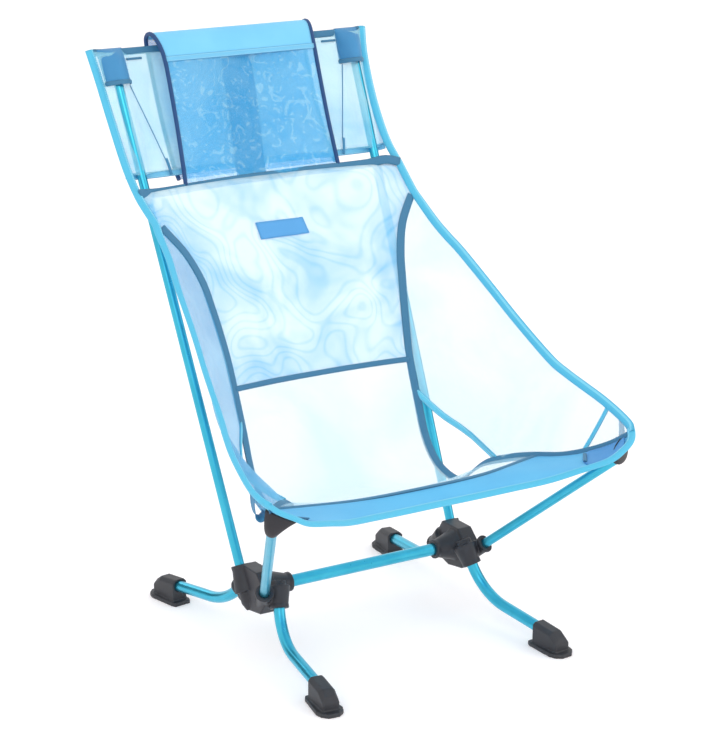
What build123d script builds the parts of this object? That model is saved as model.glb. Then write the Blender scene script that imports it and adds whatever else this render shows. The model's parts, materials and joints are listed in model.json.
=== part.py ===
from build123d import *
import os

# Driving dimensions, in millimetres.
bar_y = -74.66           # crossbar axis, measured from the middle of the chair's depth
bar_height = 96.6        # crossbar axis above the ground
bar_half = 122.0         # visible half length of the crossbar
bar_outer = 8.75         # crossbar tube radius
leg_outer = 8.25         # leg tube radius
pole_outer = 7.0         # seat and back pole radius
tube_wall = 1.0
slide_gap = 0.05         # radial clearance of a sliding or plugged tube
leg_depth = 36.0         # how far a leg plugs into its hub
bar_depth = 26.0         # how far the crossbar plugs into each hub
cloth = 1.2              # thickness of a fabric layer
cord_radius = 1.5
sole_thick = 6.0
boot_width = 25.0

os.makedirs("parts", exist_ok=True)
sides = ((1, "right"), (-1, "left"))


def at(x, y, z, side=1):
    """A point measured from the crossbar's axis and the ground."""
    return Vector(side * x, bar_y + y, z)


def save(piece, name):
    piece.part.label = name
    export_step(piece.part, f"parts/{name}.step")


def rod(start, end, radius, mode=Mode.ADD):
    """A round bar between two points, inside the part being built."""
    with BuildSketch(Plane(origin=start, z_dir=end - start)) as section:
        Circle(radius)
    extrude(section.sketch, amount=(end - start).length, mode=mode)


def taper(start, end, first, last):
    """A cone between two points, inside the part being built."""
    reach = (end - start).length
    with BuildSketch(Plane(origin=start, z_dir=end - start)) as near:
        Circle(first)
    with BuildSketch(Plane(origin=start, z_dir=end - start).offset(reach)) as far:
        Circle(last)
    loft([near.sketch, far.sketch])


def tube(name, start, end, outer, inner):
    """A straight tube between two points, or a solid bar where inner is 0."""
    with BuildPart() as piece:
        with BuildSketch(Plane(origin=start, z_dir=end - start)):
            Circle(outer)
            if inner > 0:
                Circle(inner, mode=Mode.SUBTRACT)
        extrude(amount=(end - start).length)
    save(piece, name)


def bent_tube(name, points, bend, outer, inner):
    """A tube along straight runs joined by tangent bends."""
    with BuildPart() as piece:
        with BuildLine() as path:
            FilletPolyline(*points, radius=bend)
        with BuildSketch(Plane(origin=points[0], z_dir=points[1] - points[0])):
            Circle(outer)
            if inner > 0:
                Circle(inner, mode=Mode.SUBTRACT)
        sweep(path=path.wire())
    save(piece, name)


def strip(name, pairs, thick=cloth):
    """Fabric between two edges: each pair holds one point of either edge."""
    with BuildPart() as piece:
        for index, (first, last) in enumerate(pairs):
            before = pairs[max(index - 1, 0)]
            after = pairs[min(index + 1, len(pairs) - 1)]
            travel = (after[0] + after[1]) - (before[0] + before[1])
            across = last - first
            face_dir = travel.cross(across)
            middle = (first + last) * 0.5
            with BuildSketch(Plane(origin=middle, x_dir=across, z_dir=across.cross(face_dir))):
                Rectangle(across.length, thick)
        loft(ruled=True)
    save(piece, name)


def panel(name, rows, thick=cloth):
    """Fabric across the chair: rows hold half width, y, z and how far the middle sags."""
    with BuildPart() as piece:
        for index, (half, y, z, sag) in enumerate(rows):
            before = rows[max(index - 1, 0)]
            after = rows[min(index + 1, len(rows) - 1)]
            travel = Vector(0, after[1] - before[1], after[2] - before[2])
            with BuildSketch(Plane(origin=at(0, y, z), x_dir=(1, 0, 0), z_dir=travel)):
                with BuildLine():
                    ThreePointArc((-half, 0), (0, -sag), (half, 0))
                    Line((half, 0), (half, -thick))
                    ThreePointArc((half, -thick), (0, -sag - thick), (-half, -thick))
                    Line((-half, -thick), (-half, 0))
                make_face()
        loft(ruled=True)
    save(piece, name)


# ---------------------------------------------------------------- pole and leg lines
def back_pole(height, side):
    """The back pole's axis at a height."""
    share = (height - 40.0) / 775.0
    return at(177.8 + 25.4 * share, 3.3 + 381.5 * share, height, side)


def front_pole(height, side):
    """The front pole's axis at a height."""
    share = (height - 60.0) / 247.0
    return at(161.7 + 132.3 * share, 9.0 - 266.5 * share, height, side)


back_foot, back_mouth = 68.0, 119.0
back_joint, back_top = 400.0, 796.0
front_foot, front_mouth = 84.0, 108.0
front_top = 284.0
ferrule_half = 30.0


def toward(start, end, distance):
    return start + (end - start).normalized() * distance


# ---------------------------------------------------------------- crossbar
tube("crossbar", Vector(-bar_half - bar_depth, bar_y, bar_height),
     Vector(bar_half + bar_depth, bar_y, bar_height), bar_outer, bar_outer - tube_wall)

# ---------------------------------------------------------------- hubs, legs, feet, poles
for side, hand in sides:
    front_leg_mouth = at(164, -43, 79, side)
    front_leg_out = Vector(side * 0.17, -0.46, -0.87).normalized()
    rear_leg_mouth = at(169, 64, 74, side)
    rear_leg_out = Vector(side * 0.12, 0.70, -0.70).normalized()
    bar_end = Vector(side * (bar_half + bar_depth), bar_y, bar_height)
    bar_mouth = Vector(side * bar_half, bar_y, bar_height)
    core_middle = at(172, 4, 92, side)

    # Moulded hub: a core web with five sockets, each with a flanged mouth.
    with BuildPart() as hub:
        with BuildSketch(Plane.YZ.offset(side * 171.0)):
            with BuildLine():
                Polyline((bar_y - 34, 84), (bar_y - 30, 108), (bar_y - 10, 125), (bar_y + 33, 124),
                         (bar_y + 54, 88), (bar_y + 44, 68), (bar_y + 14, 60), (bar_y - 22, 66),
                         close=True)
            make_face()
        extrude(amount=12.0, both=True)
        sockets = (
            (front_leg_mouth, front_leg_mouth - front_leg_out * (leg_depth + 3), leg_outer, 4.0),
            (rear_leg_mouth, rear_leg_mouth - rear_leg_out * (leg_depth + 3), leg_outer, 4.0),
            (back_pole(back_mouth, side), back_pole(back_foot + 2, side), pole_outer, 4.0),
            (front_pole(front_mouth, side), front_pole(front_foot - 4, side), pole_outer, 4.5),
            (bar_mouth, bar_end + Vector(side * 14, 0, 0), bar_outer, 3.5),
        )
        for mouth, inside, hole, wall in sockets:
            rod(mouth, inside, hole + wall)
            rod(mouth, toward(mouth, inside, 5.0), hole + wall + 2.0)
        taper(Vector(side * (bar_half + 3), bar_y, bar_height),
              Vector(side * 164, bar_y, bar_height), bar_outer + 3.5, 25.0)
        taper(back_pole(back_foot + 2, side), back_pole(back_foot - 8, side),
              pole_outer + 4.0, 6.0)
        taper(back_pole(back_mouth - 3, side), back_pole(84, side), pole_outer + 5.0, 17.0)
        taper(front_leg_mouth - front_leg_out * 3, front_leg_mouth - front_leg_out * 32,
              leg_outer + 5.0, 18.0)
        rod(front_leg_mouth, toward(front_leg_mouth, front_leg_mouth - front_leg_out, leg_depth),
            leg_outer + slide_gap, Mode.SUBTRACT)
        rod(rear_leg_mouth, toward(rear_leg_mouth, rear_leg_mouth - rear_leg_out, leg_depth),
            leg_outer + slide_gap, Mode.SUBTRACT)
        rod(back_pole(back_mouth + 8, side), back_pole(back_foot, side),
            pole_outer + slide_gap, Mode.SUBTRACT)
        rod(front_pole(front_mouth + 4, side), front_pole(front_foot, side),
            pole_outer + slide_gap, Mode.SUBTRACT)
        rod(Vector(side * (bar_half - 1), bar_y, bar_height), bar_end,
            bar_outer + slide_gap, Mode.SUBTRACT)
    save(hub, f"hub_{hand}")

    # Legs: a bend just below the hub, then a long shallow run into the boot.
    front_boot_mouth = at(186, -183, 26, side)
    rear_boot_mouth = at(191, 211, 28.5, side)
    legs = (
        ("front", front_leg_mouth, front_leg_out, 47.5, front_boot_mouth, 84.0),
        ("rear", rear_leg_mouth, rear_leg_out, 45.0, rear_boot_mouth, 120.0),
    )
    for row, mouth, out_dir, drop, boot_mouth, bend in legs:
        turn = mouth + out_dir * drop
        end = toward(boot_mouth, boot_mouth * 2 - turn, 36.0)
        top = mouth - out_dir * (leg_depth - 0.5)
        bent_tube(f"{row}_leg_{hand}", (top, turn, end), bend, leg_outer, leg_outer - tube_wall)
        bent_tube(f"{row}_leg_cord_{hand}", (top + out_dir * 2, turn, end), bend, cord_radius, 0)

        # Rubber boot: a sole plate and a body with a faceted nose round the tube's end.
        run = Vector(end.X - boot_mouth.X, end.Y - boot_mouth.Y, 0).normalized()
        sole_plane = Plane(origin=(boot_mouth.X, boot_mouth.Y, 0), x_dir=run, z_dir=(0, 0, 1))
        mouth_top = boot_mouth.Z + leg_outer + 2.5
        with BuildPart() as boot:
            with BuildSketch(sole_plane):
                with BuildLine():
                    Polyline((-8, -13), (-2, -16), (44, -20), (54, -17), (62, -8), (62, 8),
                             (54, 17), (44, 20), (-2, 16), (-8, 13), close=True)
                make_face()
            extrude(amount=sole_thick)
            side_plane = Plane(origin=sole_plane.origin, x_dir=run,
                               z_dir=Vector(run.Y, -run.X, 0))
            with BuildSketch(side_plane):
                with BuildLine():
                    Polyline((0, sole_thick - 1), (0, mouth_top), (37, mouth_top - 4),
                             (48, mouth_top - 12), (51, mouth_top - 20),
                             (51, sole_thick - 1), close=True)
                make_face()
            extrude(amount=boot_width / 2, both=True)
            roof = boot.edges().filter_by(lambda edge: edge.center().Z > 24 and abs(
                edge.tangent_at(0).dot(run)) > 0.5)
            chamfer(roof, length=5.0)
            rod(toward(boot_mouth, turn, 6.0), end, leg_outer + slide_gap, Mode.SUBTRACT)
        save(boot, f"{row}_foot_{hand}")

    # Back pole in two sections, joined by an inner ferrule and an elastic cord.
    inner = pole_outer - 0.8
    tube(f"back_pole_lower_{hand}", back_pole(back_foot, side), back_pole(back_joint, side),
         pole_outer, inner)
    tube(f"back_pole_upper_{hand}", back_pole(back_joint, side), back_pole(back_top - 8, side),
         pole_outer, inner)
    tube(f"back_ferrule_{hand}", back_pole(back_joint - ferrule_half, side),
         back_pole(back_joint + ferrule_half, side), inner - slide_gap, inner - 1.0)
    tube(f"back_pole_cord_{hand}", back_pole(back_foot + 4, side),
         back_pole(back_top - 10, side), cord_radius, 0)
    tube(f"back_pole_tip_{hand}", back_pole(back_top - 8, side), back_pole(back_top, side),
         pole_outer + 0.5, 0)

    # Seat pole, plugged into the front of the hub.
    tube(f"front_pole_{hand}", front_pole(front_foot, side), front_pole(front_top - 6, side),
         pole_outer, inner)
    tube(f"front_pole_tip_{hand}", front_pole(front_top - 6, side),
         front_pole(front_top, side), pole_outer + 0.5, 0)

# ---------------------------------------------------------------- sling: centre panels
panel("back_panel", ((213, 264, 617, 20), (203, 211, 583, 44), (177, 192, 546, 48),
                     (161, 171, 507, 40), (154, 154, 469, 34), (149, 140, 435, 26),
                     (145, 126, 399, 18), (142, 114, 364, 9)))
panel("seat_panel", ((142, 109, 352, 8), (141, 87, 305, 9), (141, 62, 248, 9), (142, 30, 216, 8),
                     (143, -17, 208, 7), (145, -43, 222, 6), (155, -70, 246, 4),
                     (180, -98, 258, 3), (206, -124, 263, 2), (226, -143, 266, 2)))
panel("mid_tape", ((143, 111, 354.6, 8), (143, 113.4, 361.4, 8.5)), 1.6)
panel("shoulder_tape", ((212, 267, 619, 20), (212, 272, 629, 20)), 1.6)
panel("rear_panel", ((213, 310, 641, 2), (212, 341, 705, 2), (213, 371, 765, 2),
                     (213, 388, 800, 2)))
panel("rear_tape", ((214, 305, 631, 2), (214, 309, 639.5, 2)), 1.6)
panel("top_hem", ((181, 388.5, 802, 2), (181, 392.3, 810, 2)), 1.6)

# Front edge: hem band and its binding, each one run from corner to corner.
hem_inner = ((-288, -207, 304), (-262, -182, 282), (-200, -154, 266), (-110, -150, 262),
             (0, -148, 262), (110, -150, 262), (200, -154, 266), (262, -182, 282),
             (288, -207, 304))
hem_outer = ((-292, -236, 313), (-262, -250, 299), (-200, -240, 281), (-110, -206, 262),
             (0, -182, 253), (110, -206, 262), (200, -240, 281), (262, -250, 299),
             (292, -236, 313))
strip("front_hem", [(at(*first), at(*last)) for first, last in zip(hem_inner, hem_outer)])
binding_line = ((-262, -259, 301), (-200, -249, 282), (-110, -214, 262), (0, -190, 251),
                (110, -214, 262), (200, -249, 282), (262, -259, 301))
strip("binding_front", [(at(x, y + 6, z + 1), at(x, y - 2, z - 3))
                        for x, y, z in binding_line], 2.0)

# ---------------------------------------------------------------- sling: side wings
seam_line = ((203, 203, 565), (184, 192, 546), (168, 171, 507), (161, 154, 469),
             (156, 140, 435), (152, 126, 399), (149, 110, 357), (148, 89, 308))
seam_front = ((148, 64, 249), (149, 30, 216), (150, -17, 208), (152, -43, 222), (163, -70, 246))
strip_line = ((150, 90, 308), (170, 55, 284), (185, 16, 268), (183, -22, 260), (176, -62, 258))
edge_line = ((220, 200, 575), (224, 163, 549), (236, 108, 513), (247, 46, 471), (258, -8, 432),
             (266, -52, 402), (275, -88, 381), (281, -108, 372), (290, -138, 360),
             (296, -160, 352), (301, -184, 342), (304, -206, 332))
wing_inner = seam_line + strip_line[1:]

for side, hand in sides:
    wing = []
    binding = []
    for inner_point, outer_point in zip(wing_inner, edge_line):
        first, last = at(*inner_point, side), at(*outer_point, side)
        wing.append((toward(first, last, 7.0), toward(last, first, 8.0)))
        binding.append((toward(last, first, 6.0), toward(last, first, -6.0)))
    strip(f"wing_{hand}", wing)

    shoulder = ((224, 390, 806, 236), (220, 372, 768, 232), (217, 340, 708, 229),
                (216, 300, 653, 228), (217, 262, 620, 229), (215, 232, 598, 227))
    binding = [(at(x, y, z, side), at(far, y, z, side)) for x, y, z, far in shoulder] + binding
    strip(f"binding_{hand}", binding, 2.0)

    tape = [(at(x - 5, y, z, side), at(x + 5, y, z, side))
            for x, y, z in seam_line[1:] + seam_front]
    strip(f"seam_tape_{hand}", tape, 1.6)

    # Top pocket over the back pole's tip, and the black pocket over the seat pole's.
    strip(f"top_pocket_{hand}", [(at(184, 346, 762, side), at(217, 344, 762, side)),
                                 (at(184, 366, 806, side), at(218, 366, 808, side))])
    with BuildPart() as cone_pocket:
        start, end = front_pole(front_top - 24, side), front_pole(front_top + 5, side)
        taper(start, end, 11.0, 9.0)
        rod(start, front_pole(front_top + 0.5, side), pole_outer + 1.0, Mode.SUBTRACT)
    save(cone_pocket, f"front_pocket_{hand}")
    strip(f"corner_patch_{hand}", [(at(262, -236, 302, side), at(268, -200, 298, side)),
                                   (at(286, -228, 314, side), at(286, -212, 312, side))], 1.0)

# ---------------------------------------------------------------- drain edges and pull loops
with BuildPart() as drain_strips:
    for side, hand in sides:
        for first, last in zip(strip_line[:-1], strip_line[1:]):
            start, end = at(*first, side), at(*last, side)
            rod(toward(start, end, 8.0), toward(end, start, 3.0), 1.8)
save(drain_strips, "drain_strips")

with BuildPart() as pull_loops:
    for side, hand in sides:
        with BuildSketch(Plane(origin=at(295, -193, 300, side), x_dir=(0, -0.92, 0.39),
                               z_dir=(side, 0, 0))):
            SlotOverall(42, 17)
        extrude(amount=1.5)
save(pull_loops, "pull_loops")

# ---------------------------------------------------------------- pillow
panel("pillow_front", ((128, 292, 634, 1), (126, 312, 680, 1), (125, 334, 735, 1),
                       (125, 357, 793, 1)))
panel("pillow_top", ((126, 361, 800, 1), (128, 373, 819, 1), (130, 387, 827, 1),
                     (130, 401, 825.5, 1), (130, 409, 815, 1)))
panel("pillow_back", ((130, 406, 806, 1), (130, 386, 765, 1), (130, 355, 700, 1),
                      (130, 322, 640, 1)))
panel("pillow_strap", ((22, 300, 636, 1), (22, 319, 680, 1), (22, 341, 735, 1),
                       (22, 365, 793, 1)))
pipe_line = ((134, 292, 636), (131, 330, 727), (131, 360, 800), (134, 383, 824), (135, 407, 816),
             (135, 386, 762), (135, 324, 644))
with BuildPart() as piping_right:
    with BuildLine() as pipe_path:
        FilletPolyline(*[at(x + 1.5, y, z) for x, y, z in pipe_line], radius=7.0)
    with BuildSketch(Plane(origin=pipe_path.wire() @ 0, z_dir=pipe_path.wire() % 0)):
        Circle(2.2)
    sweep(path=pipe_path.wire())
with BuildPart() as pillow_piping:
    add(piping_right.part)
    mirror(piping_right.part, about=Plane.YZ)
save(pillow_piping, "pillow_piping")

# ---------------------------------------------------------------- label and tethers
with BuildPart() as label:
    with BuildSketch(Plane(origin=at(17, 223, 546), x_dir=(1, 0, 0), z_dir=(0, -0.86, 0.50))):
        RectangleRounded(85, 28, 2)
    extrude(amount=0.8)
save(label, "label")

with BuildPart() as tethers:
    for side, hand in sides:
        rod(at(181, 362, 758, side), at(151, 309, 655, side), 1.2)
        rod(at(151, 309, 655, side), at(147, 301, 640, side), 3.0)
save(tethers, "tethers")
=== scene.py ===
import bpy
import json
import math
from mathutils import Matrix, Vector, noise


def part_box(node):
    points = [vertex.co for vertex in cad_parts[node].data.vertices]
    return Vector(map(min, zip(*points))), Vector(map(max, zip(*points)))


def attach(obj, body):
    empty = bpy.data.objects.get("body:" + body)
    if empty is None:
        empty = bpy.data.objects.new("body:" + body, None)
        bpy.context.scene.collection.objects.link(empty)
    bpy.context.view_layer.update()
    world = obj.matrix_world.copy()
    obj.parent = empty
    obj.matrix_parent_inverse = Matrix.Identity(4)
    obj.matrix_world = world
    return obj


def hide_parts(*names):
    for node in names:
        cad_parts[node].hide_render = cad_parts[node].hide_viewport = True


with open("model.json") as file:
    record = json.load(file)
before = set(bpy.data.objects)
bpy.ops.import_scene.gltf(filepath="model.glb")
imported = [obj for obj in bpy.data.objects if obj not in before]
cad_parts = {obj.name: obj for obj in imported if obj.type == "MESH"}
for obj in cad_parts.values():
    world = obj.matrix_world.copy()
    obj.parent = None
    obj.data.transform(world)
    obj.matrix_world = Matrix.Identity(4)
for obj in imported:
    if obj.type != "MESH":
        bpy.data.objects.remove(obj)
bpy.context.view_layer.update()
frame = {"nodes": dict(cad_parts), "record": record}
barLow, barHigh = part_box("crossbar")
barY = (barLow[1] + barHigh[1]) / 2
sides = {"right": 1, "left": -1}
millimetre = 0.001


def at(x, y, z, side=1):
    # a place measured in millimetres from the crossbar's axis and the ground
    return Vector((side * x * millimetre, barY + y * millimetre, z * millimetre))


def mix(a, b, share):
    return a + (b - a) * share


def smoothLine(points, fine=16):
    # an even walk, 0 to 1, along a smooth line through the points
    dense = []
    last = len(points) - 1
    for i in range(last):
        before, here, there, after = (points[max(i - 1, 0)], points[i], points[i + 1],
                                      points[min(i + 2, last)])
        for step in range(fine):
            t = step / fine
            dense.append(0.5 * (2 * here + (there - before) * t
                                + (2 * before - 5 * here + 4 * there - after) * t * t
                                + (3 * here - before - 3 * there + after) * t ** 3))
    dense.append(points[-1].copy())
    reach = [0.0]
    for a, b in zip(dense[:-1], dense[1:]):
        reach.append(reach[-1] + (b - a).length)

    def walk(t):
        goal = max(0.0, min(1.0, t)) * reach[-1]
        low, high = 0, len(reach) - 1
        while high - low > 1:
            middle = (low + high) // 2
            if reach[middle] <= goal:
                low = middle
            else:
                high = middle
        span = reach[high] - reach[low]
        share = 0 if span == 0 else (goal - reach[low]) / span
        return mix(dense[low], dense[high], share)

    return walk


def lineLength(walk, steps=60):
    return sum((walk((i + 1) / steps) - walk(i / steps)).length for i in range(steps))


def ripple(place, size, height, seed):
    # a soft, repeatable unevenness
    return height * noise.noise(place / size + Vector((seed, seed * 0.7, -seed)))


# ------ camera, floor and light

cameraSet = {"target": (0, 11.3, 393.69), "distance": 3348.7, "azimuth": -31.6307,
             "elevation": 17.1584, "roll": 0.44, "lens": 115.126,
             "sensor": 36, "farthest": 100}


def makeCamera(values):
    azimuth, elevation = math.radians(values["azimuth"]), math.radians(values["elevation"])
    roll = math.radians(values["roll"])
    back = Vector((math.sin(azimuth) * math.cos(elevation),
                   -math.cos(azimuth) * math.cos(elevation), math.sin(elevation)))
    right = Vector((math.cos(azimuth), math.sin(azimuth), 0))
    up = back.cross(right)
    camRight = right * math.cos(roll) + up * math.sin(roll)
    camUp = up * math.cos(roll) - right * math.sin(roll)
    turn = Matrix((camRight, camUp, back)).transposed().to_4x4()
    data = bpy.data.cameras.new("camera")
    data.lens = values["lens"]
    data.sensor_width = values["sensor"]
    data.clip_end = values["farthest"]
    camera = bpy.data.objects.new("camera", data)
    bpy.context.scene.collection.objects.link(camera)
    spot = at(*values["target"]) + back * values["distance"] * millimetre
    camera.matrix_world = Matrix.Translation(spot) @ turn
    bpy.context.scene.camera = camera


def makeLight(name, place, aim, size, power):
    data = bpy.data.lights.new(name, "AREA")
    data.shape = "RECTANGLE"
    data.size, data.size_y = size
    data.energy = power
    light = bpy.data.objects.new(name, data)
    bpy.context.scene.collection.objects.link(light)
    light.location = place
    light.rotation_euler = (Vector(aim) - Vector(place)).to_track_quat("-Z", "Y").to_euler()


studioStrength = 1.06

makeCamera(cameraSet)
bpy.context.scene.view_settings.view_transform = "Standard"
studio = bpy.data.worlds.new("studio")
studio.use_nodes = True
studio.node_tree.nodes["Background"].inputs["Color"].default_value = (1.0, 1.0, 1.0, 1)
studio.node_tree.nodes["Background"].inputs["Strength"].default_value = studioStrength
bpy.context.scene.world = studio
makeLight("keyLight", (-1.6, -2.2, 2.8), (0, 0, 0.3), (1.6, 1.6), 16)
makeLight("sideLight", (2.2, -1.7, 1.6), (0, 0, 0.4), (0.7, 2.4), 8)
makeLight("backLight", (-0.6, 2.9, 1.9), (0, 0, 0.5), (1.6, 1.6), 7)
print("stage: camera and light")


# ------ materials

def shader(name, colour, roughness, metallic=0.0, sheen=0.0, coat=0.0):
    material = bpy.data.materials.new(name)
    material.use_nodes = True
    skin = material.node_tree.nodes["Principled BSDF"]
    skin.inputs["Base Color"].default_value = (*colour, 1)
    skin.inputs["Roughness"].default_value = roughness
    skin.inputs["Metallic"].default_value = metallic
    skin.inputs["Sheen Weight"].default_value = sheen
    skin.inputs["Coat Weight"].default_value = coat
    return material, material.node_tree, skin


def addNode(tree, kind, values=None, **settings):
    node = tree.nodes.new(kind)
    for key, value in settings.items():
        setattr(node, key, value)
    for key, value in (values or {}).items():
        node.inputs[key].default_value = value
    return node


def newGroup(name, ins, outs):
    tree = bpy.data.node_groups.new(name, "ShaderNodeTree")
    for label, kind, value in ins:
        socket = tree.interface.new_socket(label, in_out="INPUT", socket_type=kind)
        if value is not None:
            socket.default_value = value
    for label, kind in outs:
        tree.interface.new_socket(label, in_out="OUTPUT", socket_type=kind)
    return tree, tree.nodes.new("NodeGroupInput"), tree.nodes.new("NodeGroupOutput")


def placeGroup(tree, group, values):
    return addNode(tree, "ShaderNodeGroup", values, node_tree=group)


def makeWeaveGroup():
    # two crossed thread sets; puts out thread cover and height
    tree, source, sink = newGroup(
        "openWeave", [("Vector", "NodeSocketVector", None), ("Threads", "NodeSocketFloat", 900.0),
                      ("Gap", "NodeSocketFloat", 0.35)],
        [("Cover", "NodeSocketFloat"), ("Height", "NodeSocketFloat")])
    split = addNode(tree, "ShaderNodeSeparateXYZ")
    tree.links.new(source.outputs["Vector"], split.inputs[0])
    waves = []
    for axis in ("X", "Y"):
        times = addNode(tree, "ShaderNodeMath", operation="MULTIPLY")
        tree.links.new(split.outputs[axis], times.inputs[0])
        tree.links.new(source.outputs["Threads"], times.inputs[1])
        turn = addNode(tree, "ShaderNodeMath", {1: 2 * math.pi}, operation="MULTIPLY")
        tree.links.new(times.outputs[0], turn.inputs[0])
        sine = addNode(tree, "ShaderNodeMath", operation="SINE")
        tree.links.new(turn.outputs[0], sine.inputs[0])
        lift = addNode(tree, "ShaderNodeMath", {1: 0.5, 2: 0.5}, operation="MULTIPLY_ADD")
        tree.links.new(sine.outputs[0], lift.inputs[0])
        waves.append(lift)
    high = addNode(tree, "ShaderNodeMath", operation="MAXIMUM")
    tree.links.new(waves[0].outputs[0], high.inputs[0])
    tree.links.new(waves[1].outputs[0], high.inputs[1])
    tree.links.new(high.outputs[0], sink.inputs["Height"])
    gapLow = addNode(tree, "ShaderNodeMath", {1: 0.5}, operation="MULTIPLY")
    tree.links.new(source.outputs["Gap"], gapLow.inputs[0])
    cover = addNode(tree, "ShaderNodeMapRange", {"To Min": 0.0, "To Max": 1.0})
    tree.links.new(high.outputs[0], cover.inputs["Value"])
    tree.links.new(gapLow.outputs[0], cover.inputs["From Min"])
    tree.links.new(source.outputs["Gap"], cover.inputs["From Max"])
    tree.links.new(cover.outputs[0], sink.inputs["Cover"])
    return tree


def makeWaterGroup():
    # the rings of light that two layers of mesh make when one lies over the other
    tree, source, sink = newGroup(
        "meshRings", [("Vector", "NodeSocketVector", None), ("Scale", "NodeSocketFloat", 7.0),
                      ("Rings", "NodeSocketFloat", 9.0), ("Soft", "NodeSocketFloat", 0.5)],
        [("Mask", "NodeSocketFloat")])
    cloud = addNode(tree, "ShaderNodeTexNoise", {"Detail": 1.2, "Roughness": 0.45,
                                                 "Distortion": 0.35})
    tree.links.new(source.outputs["Vector"], cloud.inputs["Vector"])
    tree.links.new(source.outputs["Scale"], cloud.inputs["Scale"])
    times = addNode(tree, "ShaderNodeMath", operation="MULTIPLY")
    tree.links.new(cloud.outputs["Fac"], times.inputs[0])
    tree.links.new(source.outputs["Rings"], times.inputs[1])
    turn = addNode(tree, "ShaderNodeMath", {1: 2 * math.pi}, operation="MULTIPLY")
    tree.links.new(times.outputs[0], turn.inputs[0])
    sine = addNode(tree, "ShaderNodeMath", operation="SINE")
    tree.links.new(turn.outputs[0], sine.inputs[0])
    lift = addNode(tree, "ShaderNodeMath", {1: 0.5, 2: 0.5}, operation="MULTIPLY_ADD")
    tree.links.new(sine.outputs[0], lift.inputs[0])
    power = addNode(tree, "ShaderNodeMath", operation="POWER")
    tree.links.new(lift.outputs[0], power.inputs[0])
    tree.links.new(source.outputs["Soft"], power.inputs[1])
    tree.links.new(power.outputs[0], sink.inputs["Mask"])
    return tree


def makeStitchGroup():
    # two rows of stitches along a tape: U runs across it, V along it, in metres
    tree, source, sink = newGroup(
        "stitchRows", [("Vector", "NodeSocketVector", None), ("Pitch", "NodeSocketFloat", 350.0),
                       ("Row", "NodeSocketFloat", 0.16)],
        [("Stitch", "NodeSocketFloat"), ("Rib", "NodeSocketFloat"), ("Rim", "NodeSocketFloat")])
    split = addNode(tree, "ShaderNodeSeparateXYZ")
    tree.links.new(source.outputs["Vector"], split.inputs[0])
    centred = addNode(tree, "ShaderNodeMath", {1: 0.5}, operation="SUBTRACT")
    tree.links.new(split.outputs["X"], centred.inputs[0])
    away = addNode(tree, "ShaderNodeMath", operation="ABSOLUTE")
    tree.links.new(centred.outputs[0], away.inputs[0])
    rim = addNode(tree, "ShaderNodeMapRange", {"From Min": 0.36, "From Max": 0.5})
    tree.links.new(away.outputs[0], rim.inputs["Value"])
    tree.links.new(rim.outputs[0], sink.inputs["Rim"])
    inRow = addNode(tree, "ShaderNodeMath", {0: 0.5}, operation="SUBTRACT")
    tree.links.new(source.outputs["Row"], inRow.inputs[1])
    near = addNode(tree, "ShaderNodeMath", {2: 0.045}, operation="COMPARE")
    tree.links.new(away.outputs[0], near.inputs[0])
    tree.links.new(inRow.outputs[0], near.inputs[1])
    times = addNode(tree, "ShaderNodeMath", operation="MULTIPLY")
    tree.links.new(split.outputs["Y"], times.inputs[0])
    tree.links.new(source.outputs["Pitch"], times.inputs[1])
    part = addNode(tree, "ShaderNodeMath", operation="FRACT")
    tree.links.new(times.outputs[0], part.inputs[0])
    dash = addNode(tree, "ShaderNodeMath", {1: 0.62}, operation="LESS_THAN")
    tree.links.new(part.outputs[0], dash.inputs[0])
    both = addNode(tree, "ShaderNodeMath", operation="MULTIPLY")
    tree.links.new(near.outputs[0], both.inputs[0])
    tree.links.new(dash.outputs[0], both.inputs[1])
    tree.links.new(both.outputs[0], sink.inputs["Stitch"])
    ribsPerStitch = 3
    rib = addNode(tree, "ShaderNodeMath", {1: 2 * math.pi * ribsPerStitch},
                  operation="MULTIPLY")
    tree.links.new(times.outputs[0], rib.inputs[0])
    ribWave = addNode(tree, "ShaderNodeMath", operation="SINE")
    tree.links.new(rib.outputs[0], ribWave.inputs[0])
    tree.links.new(ribWave.outputs[0], sink.inputs["Rib"])
    return tree


openWeave = makeWeaveGroup()
meshRings = makeWaterGroup()
stitchRows = makeStitchGroup()


def blendColours(tree, factor, first, second):
    node = addNode(tree, "ShaderNodeMix", data_type="RGBA")
    node.inputs["A"].default_value = (*first, 1)
    node.inputs["B"].default_value = (*second, 1)
    tree.links.new(factor, node.inputs["Factor"])
    return node


def bumpFrom(tree, skin, height, strength, distance):
    bump = addNode(tree, "ShaderNodeBump", {"Strength": strength, "Distance": distance})
    tree.links.new(height, bump.inputs["Height"])
    tree.links.new(bump.outputs["Normal"], skin.inputs["Normal"])


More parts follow.
